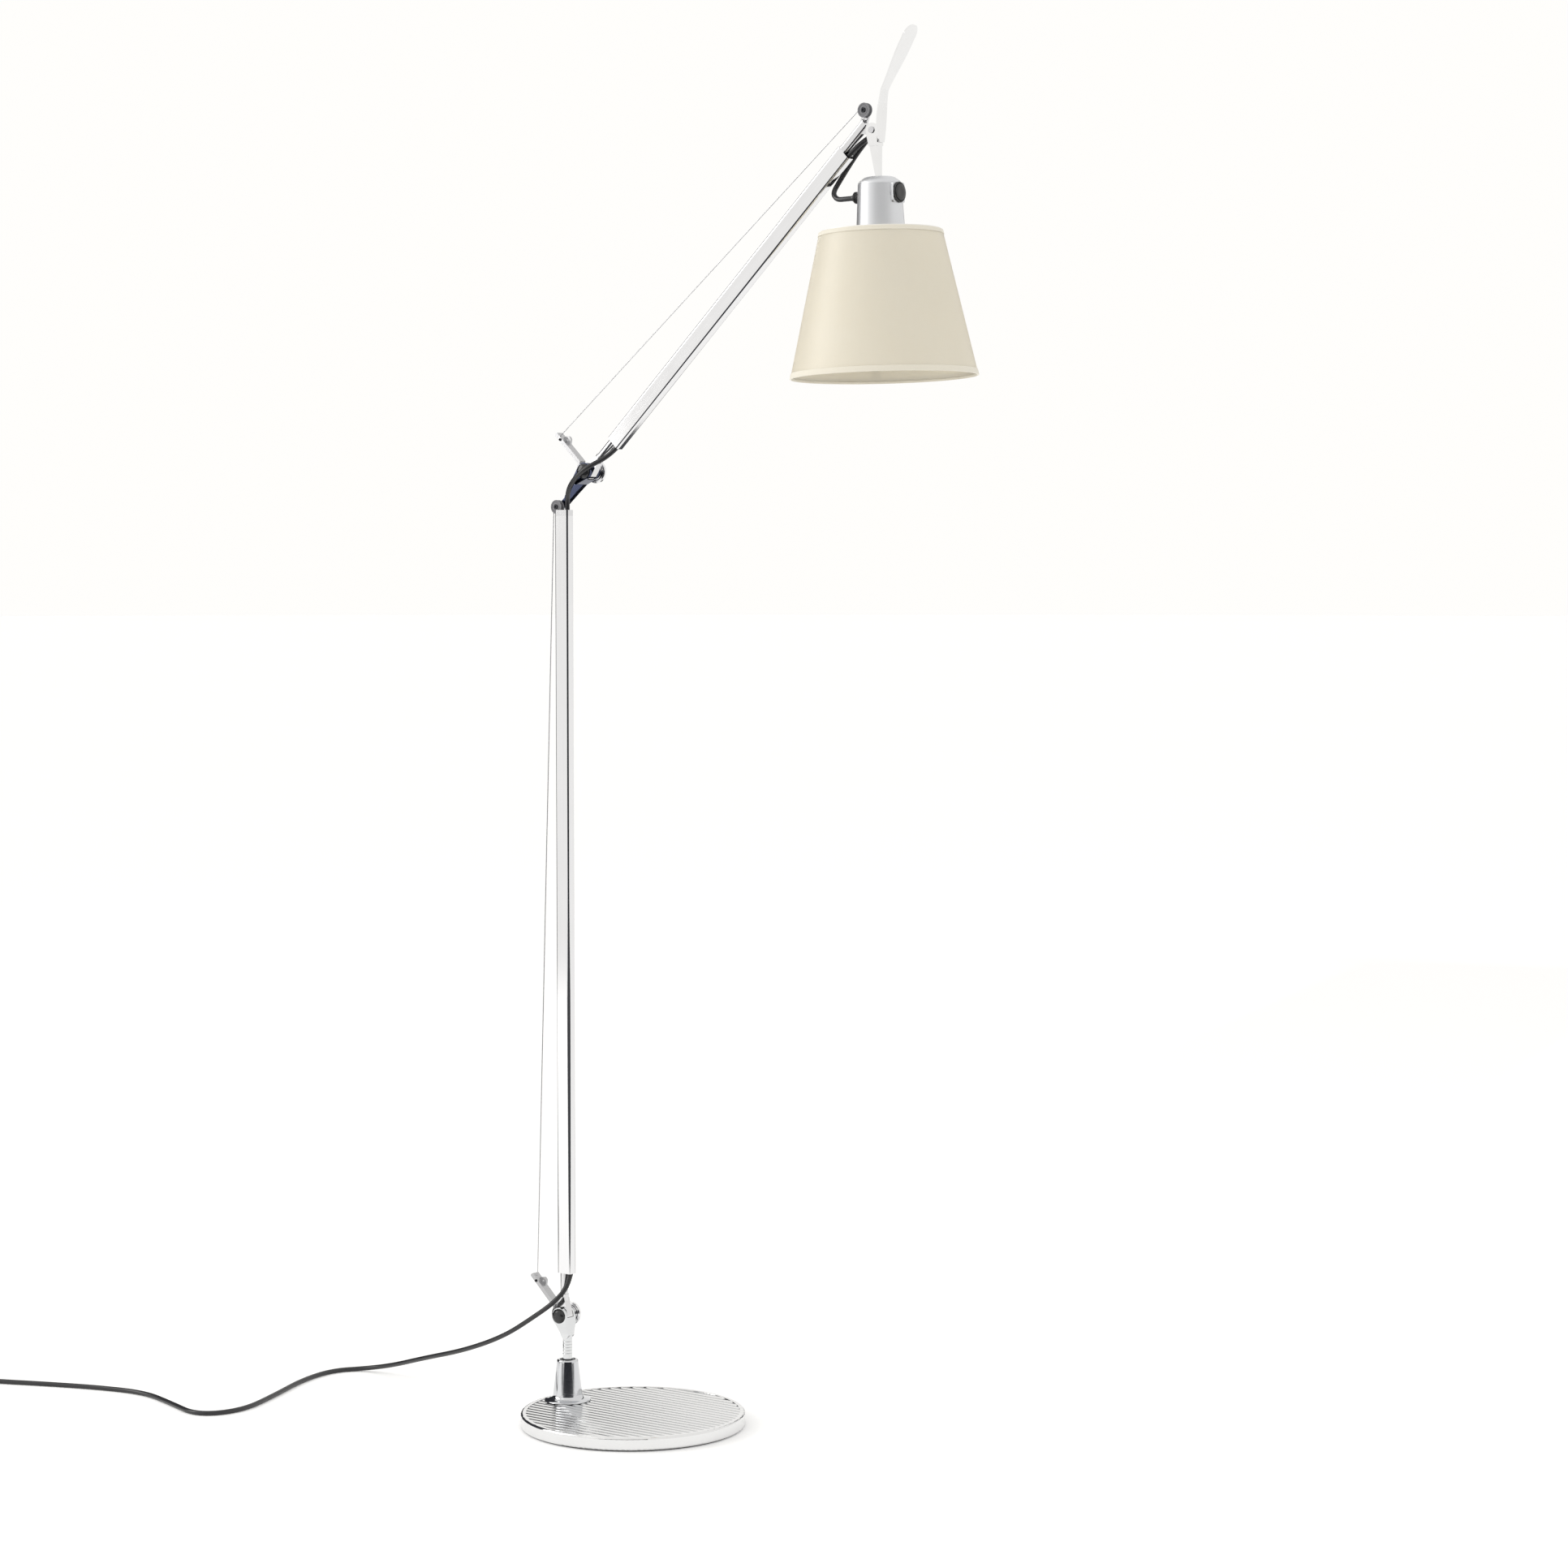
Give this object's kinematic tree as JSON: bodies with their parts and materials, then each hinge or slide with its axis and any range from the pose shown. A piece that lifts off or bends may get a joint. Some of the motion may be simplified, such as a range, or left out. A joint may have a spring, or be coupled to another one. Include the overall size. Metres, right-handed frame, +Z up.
{
  "type": "adjustable arm floor lamp",
  "caption": "Floor lamp with a round ribbed base, two spring-balanced metal arms with friction knobs, and a tilting head with a tapered shade.",
  "frame": {"origin": "centre of the round base's underside, on the floor", "axes": "+Z up, +X the way the arms reach, +Y to the side away from the black pivot caps"},
  "size_m": [1.2145, 0.4614, 1.3885],
  "materials": {
    "pad_rubber": "matt",
    "weight_iron": "as cast",
    "cover_aluminium": "fine ribbed, satin",
    "fixing_steel": "plain",
    "cone_chrome": "polished",
    "bush_plastic": "matt",
    "black_screw": "blackened",
    "stem_steel": "polished",
    "polished_aluminium": "polished",
    "cast_aluminium": "satin",
    "black_gloss": "gloss",
    "grey_nylon": "satin",
    "washer_fibre": "matt",
    "spring_steel": "oiled",
    "wire_steel": "bright",
    "white_strip": "satin",
    "cap_aluminium": "brushed satin",
    "socket_plastic": "satin",
    "shell_brass": "bright",
    "bulb_metal": "bright",
    "bulb_opal": "opal",
    "ring_white": "satin",
    "shade_parchment": "fine parchment",
    "binding_tape": "fine ribbed tape",
    "cord_black": "gloss",
    "plug_black": "satin",
    "pin_metal": "nickelled"
  },
  "bodies": {
    "base": {"base_pad": "pad_rubber", "base_weight": "weight_iron", "base_cover": "cover_aluminium", "base_screws": "fixing_steel", "socket_cone": "cone_chrome", "socket_bush": "bush_plastic", "socket_bolt": "fixing_steel", "socket_grub_screw": "black_screw", "cord_stand": "cord_black", "cord_floor": "cord_black", "cord_coil": "cord_black", "plug_body": "plug_black", "plug_pins": "pin_metal"},
    "stem": {"stem_fork": "stem_steel", "lower_lever": "cast_aluminium", "lower_set_screw": "black_screw", "lower_pivot_bolt": "fixing_steel", "lower_pivot_cap": "black_gloss", "lower_washers": "washer_fibre"},
    "lower_knob": {"lower_knob": "polished_aluminium"},
    "lower_arm": {"lower_tube": "polished_aluminium", "lower_foot": "cast_aluminium", "lower_head": "cast_aluminium", "elbow_link": "cast_aluminium", "lower_spring": "spring_steel", "lower_pulley_screw": "black_screw", "upper_lever": "cast_aluminium", "upper_set_screw": "black_screw", "elbow_bolt": "fixing_steel", "elbow_cap": "black_gloss", "elbow_washers": "washer_fibre", "lower_wire": "wire_steel"},
    "lower_pulley": {"lower_pulley": "grey_nylon"},
    "elbow_knob": {"elbow_knob": "polished_aluminium"},
    "upper_arm": {"upper_tube": "polished_aluminium", "upper_foot": "cast_aluminium", "upper_tip": "cast_aluminium", "upper_spring": "spring_steel", "upper_pulley_screw": "black_screw", "upper_wire": "wire_steel", "cord_elbow": "cord_black", "cord_head": "cord_black"},
    "upper_pulley": {"upper_pulley": "grey_nylon"},
    "head": {"head_hanger": "white_strip", "head_handle": "white_strip", "head_pin": "fixing_steel", "lampholder_cap": "cap_aluminium", "switch_bezel": "black_gloss", "cord_grommet": "black_gloss", "lamp_socket": "socket_plastic", "screw_shell": "shell_brass", "bulb_cap": "bulb_metal", "bulb_glass": "bulb_opal", "shade_ring": "ring_white", "shade_nut": "socket_plastic", "shade": "shade_parchment", "shade_binding": "binding_tape"},
    "switch_button": {"switch_button": "black_gloss"}
  },
  "joints": [
    {"name": "base_swivel", "type": "hinge", "parent": "base", "child": "stem", "pos_m": [-0.087, 0, 0.05], "axis": [0, 0, 1], "range_deg": [-150, 150]},
    {"name": "lower_tilt", "type": "hinge", "parent": "stem", "child": "lower_arm", "pos_m": [-0.0916, 0, 0.1026], "axis": [0, 1, 0], "range_deg": [-15, 25], "deforming": ["lower_wire", "cord_stand"]},
    {"name": "lower_knob_turn", "type": "hinge", "parent": "stem", "child": "lower_knob", "pos_m": [-0.0916, 0, 0.1026], "axis": [0, 1, 0], "range_deg": [-180, 180]},
    {"name": "elbow", "type": "hinge", "parent": "lower_arm", "child": "upper_arm", "pos_m": [-0.0547, 0, 0.974], "axis": [0, 1, 0], "range_deg": [-42, 64], "deforming": ["upper_wire", "cord_elbow"]},
    {"name": "elbow_knob_turn", "type": "hinge", "parent": "lower_arm", "child": "elbow_knob", "pos_m": [-0.0547, 0, 0.974], "axis": [0, 1, 0], "range_deg": [-180, 180]},
    {"name": "lower_pulley_spin", "type": "hinge", "parent": "lower_arm", "child": "lower_pulley", "pos_m": [-0.0964, 0, 0.9383], "axis": [0, 1, 0], "range_deg": [-200, 120]},
    {"name": "upper_pulley_spin", "type": "hinge", "parent": "upper_arm", "child": "upper_pulley", "pos_m": [0.28817, 0, 1.31231], "axis": [0, 1, 0], "range_deg": [-710, 465]},
    {"name": "head_tilt", "type": "hinge", "parent": "upper_arm", "child": "head", "pos_m": [0.2995, 0, 1.2925], "axis": [0, 1, 0], "range_deg": [-28, 12], "deforming": ["cord_head"]},
    {"name": "switch_press", "type": "slide", "parent": "head", "child": "switch_button", "axis": [-0.9995, 0, -0.0314], "range_m": [0, 0.0016], "stiffness_N_per_m": 500, "springref_m": -0.0006}
  ],
  "couplings": [
    {"joint": "lower_pulley_spin", "follows": "lower_tilt", "ratio": -7.85},
    {"joint": "upper_pulley_spin", "follows": "elbow", "ratio": -11}
  ]
}
